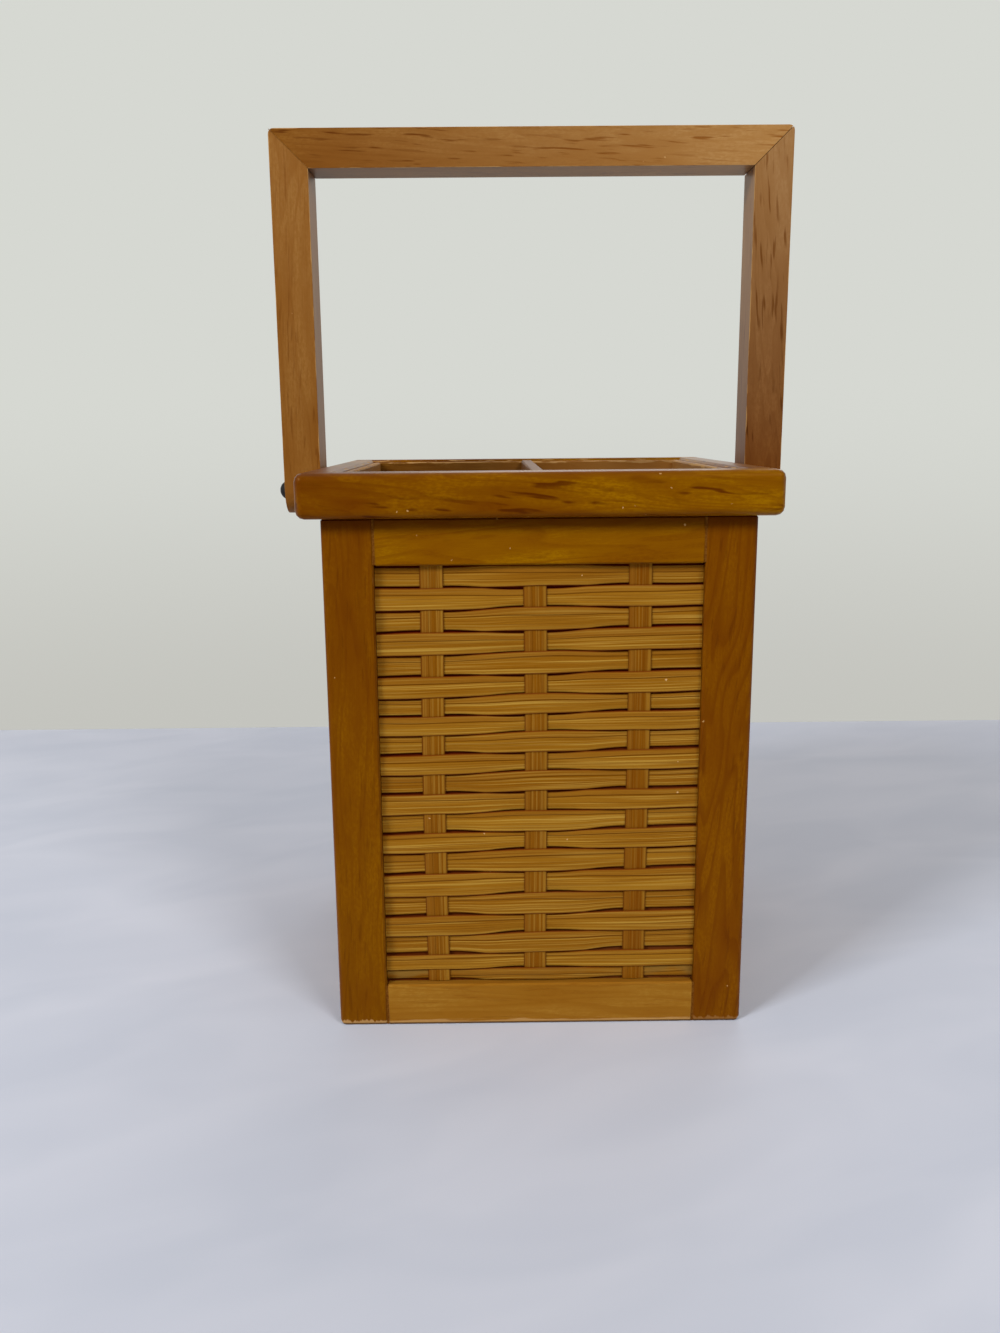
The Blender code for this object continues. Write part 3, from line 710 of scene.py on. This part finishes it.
def uprights(random, middles):
    """The uprights as places by upright, station and point. Each wanders sideways on one sine
    wave, and waves in and out the other way from the weavers, from the middle of one to the
    middle of the next: the outer two together, and the middle one against them."""
    across, out = strip_section()
    shift = random.uniform(0, 2 * math.pi, (len(STAKES), 1))
    wander = STAKE_WANDER * np.sin(2 * math.pi * UPWARD / STAKE_WANDER_LENGTH + shift)
    press = eased(UPWARD, middles, np.where(ROW_KINDS, 1.0, -1.0))
    press = np.array([-1, 1, -1])[:, None] * press
    places = np.empty((len(STAKES), STATIONS, len(across), 3))
    places[..., 0] = (STAKES[:, None] + wander)[..., None] - STAKE_WIDTH / 2 * across
    places[..., 1] = MAT_PLANE - STAKE_WAVE * press[..., None] - STAKE_THICKNESS / 2 * out
    places[..., 2] = UPWARD[:, None]
    return places


def strip_looks(random, strips, top):
    """What the bamboo's finish reads at each point: its place along and across its strip, the
    strip's tone, and how raw it is. The lowest row is partly hidden, so its place across is
    measured down from its top edge, and it is raw, most of all outside the uprights."""
    shape = strips.shape[:3]
    run = np.empty((*shape, 2))
    run[:ROWS, ..., 0] = ALONG[:, None]
    run[ROWS:, ..., 0] = UPWARD[:, None]
    run[..., 0] += random.uniform(0, 1, (STRIPS, 1, 1))
    run[..., 1] = (strip_section()[0] + 1) / 2
    run[0, ..., 1] = 1 - (top[0][:, None] - strips[0, ..., 2]) / WEAVER_WIDTH
    tone = random.uniform(*WEAVER_TONES, (STRIPS, 1, 1))
    tone[ROWS:] = np.array(STAKE_TONES)[:, None, None]
    raw = np.zeros(shape)
    raw[0] = np.where(np.abs(ALONG) > STAKES[2], 1, RAW_LEAST)[:, None]
    return run, np.broadcast_to(tone, shape), raw


def woven_mat(side, finish):
    """A side's mat of weavers and uprights, made in the front's place and turned to its side."""
    random = np.random.default_rng(MAT_SEED + SIDES.index(side))
    places, bottom, top = weavers(side, random)
    strips = np.concatenate([places, uprights(random, ((bottom + top) / 2).mean(axis=1))])
    run, tone, raw = strip_looks(random, strips, top)

    mesh = bpy.data.meshes.new(f"{side}_mat")
    places = strips.reshape(-1, 3) @ turned(side)
    mesh.from_pydata(places.tolist(), [], strip_faces(strips.shape[2]))
    mesh.shade_smooth()
    mesh.set_sharp_from_angle(angle=STRIP_SHARP_ANGLE)
    for name, values in (("tone", tone), ("raw", raw)):
        mesh.attributes.new(name, "FLOAT", "POINT").data.foreach_set("value", values.ravel())
    corners = np.empty(len(mesh.loops), dtype=np.int32)
    mesh.loops.foreach_get("vertex_index", corners)
    run = run.reshape(-1, 2)[corners]
    mesh.uv_layers.new(name="strip").data.foreach_set("uv", run.ravel())
    mesh.materials.append(finish)
    mat = placed(f"{side}_bamboo_mat", mesh)
    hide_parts(f"{side}_woven_mat")
    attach(mat, "basket")


# The room

def tabletop():
    """A table under a pale cloth whose faint soft creases are painted on it as light and shade, and
    whose far edge lies where the photograph has its horizon."""
    material, tree = new_material("pale_cloth")
    size = {"axis": 0, "along": 0.16, "across": 0.045}
    # Painted shade of soft creases in the cloth.
    painted_fold_shade = grain_noise(tree, **size, seed=5, detail=2.0, lean=0.4, distortion=0.6)
    painted_fold_shade = add(tree, "MapRange", [painted_fold_shade, 0.35, 0.65])
    surface = coats(tree, linear("#CED3E0"), (painted_fold_shade, linear("#D6DAE6")))
    inputs = {"Base Color": surface, "Roughness": 0.9}
    add(tree, "OutputMaterial", [add(tree, "BsdfPrincipled", inputs)])
    mesh = bpy.data.meshes.new("tabletop")
    near, far = -TABLE_REACH, TABLE_FAR_EDGE
    left, right = -TABLE_REACH, TABLE_REACH
    corners = [(left, near, 0), (right, near, 0), (right, far, 0), (left, far, 0)]
    mesh.from_pydata(corners, [], [(0, 1, 2, 3)])
    mesh.materials.append(material)
    placed("tabletop", mesh)


def lamp(name, place, width, power, tint):
    """A square soft lamp that points at the middle of the basket."""
    light = bpy.data.lights.new(name, "AREA")
    light.size = width
    light.energy = power
    light.color = tint
    ahead = Vector(LAMP_TARGET) - Vector(place)
    thing = placed(name, light)
    thing.location = place
    thing.rotation_euler = ahead.to_track_quat("-Z", "Y").to_euler()


def surroundings():
    """A plain wall behind everything, with painted shade that makes it a little darker low down,
    and an even light all round.
    """
    world = bpy.data.worlds.new("room")
    world.use_nodes = True
    tree = world.node_tree
    tree.nodes.clear()
    rays = add(tree, "LightPath").node.outputs
    seen = add(tree, "Math", [rays["Is Camera Ray"], rays["Is Glossy Ray"]], operation="MAXIMUM")
    seen = add(tree, "Math", [seen, rays["Is Transmission Ray"]], operation="MAXIMUM")
    up = add(tree, "SeparateXYZ", [add(tree, "TexCoord", out="Generated")], out=2)
    # Painted shade: the wall darkens low down.
    high = add(tree, "MapRange", [up, *WALL_PALING], **EASE)
    wall = coats(tree, linear("#C4C4BE"), (high, linear("#D6D8D2")))
    light = add(tree, "MapRange", [up, -0.2, 1.0, AMBIENT_LOW, AMBIENT_HIGH])
    light = add(tree, "VectorMath", {0: AMBIENT_TINT, "Scale": light}, operation="SCALE")
    add(tree, "OutputWorld", [add(tree, "Background", [coats(tree, light, (seen, wall)), 1.0])])
    bpy.context.scene.world = world


def camera():
    """The photograph's viewpoint, turned by its yaw, pitch and roll."""
    ahead = Vector((
        math.sin(CAMERA_YAW) * math.cos(CAMERA_PITCH),
        math.cos(CAMERA_YAW) * math.cos(CAMERA_PITCH),
        -math.sin(CAMERA_PITCH),
    ))
    level = Vector((math.cos(CAMERA_YAW), -math.sin(CAMERA_YAW), 0))
    upward = level.cross(ahead)
    right = level * math.cos(CAMERA_ROLL) + upward * math.sin(CAMERA_ROLL)
    up = upward * math.cos(CAMERA_ROLL) - level * math.sin(CAMERA_ROLL)
    data = bpy.data.cameras.new("camera")
    data.sensor_width = SENSOR_WIDTH
    data.lens = FOCAL_PIXELS * SENSOR_WIDTH / max(IMAGE_WIDTH, IMAGE_HEIGHT)
    data.clip_start = NEAREST_SEEN
    thing = placed("camera", data)
    facing = Matrix((right, up, -ahead)).transposed().to_4x4()
    thing.matrix_world = Matrix.Translation(CAMERA_PLACE) @ facing
    bpy.context.scene.camera = thing


dress_solids()
bamboo = split_bamboo("lacquered_split_bamboo", "#966212")
mitre_line = stained_glue("mitre_glue", "#381A06")
faint_line = stained_glue("faint_mitre_glue", "#8A5A22")
joint_line = stained_glue("joint_filler", "#6A3C0C")
for side in SIDES:
    woven_mat(side, bamboo)
    frame_glue(side, joint_line)
mitre_glue("left", faint_line, LEFT_MITRE_INSET)
mitre_glue("right", mitre_line, RIGHT_MITRE_INSET)
tabletop()
surroundings()
for name, settings in LAMPS.items():
    lamp(name, *settings)
camera()
bpy.context.scene.view_settings.view_transform = "Standard"
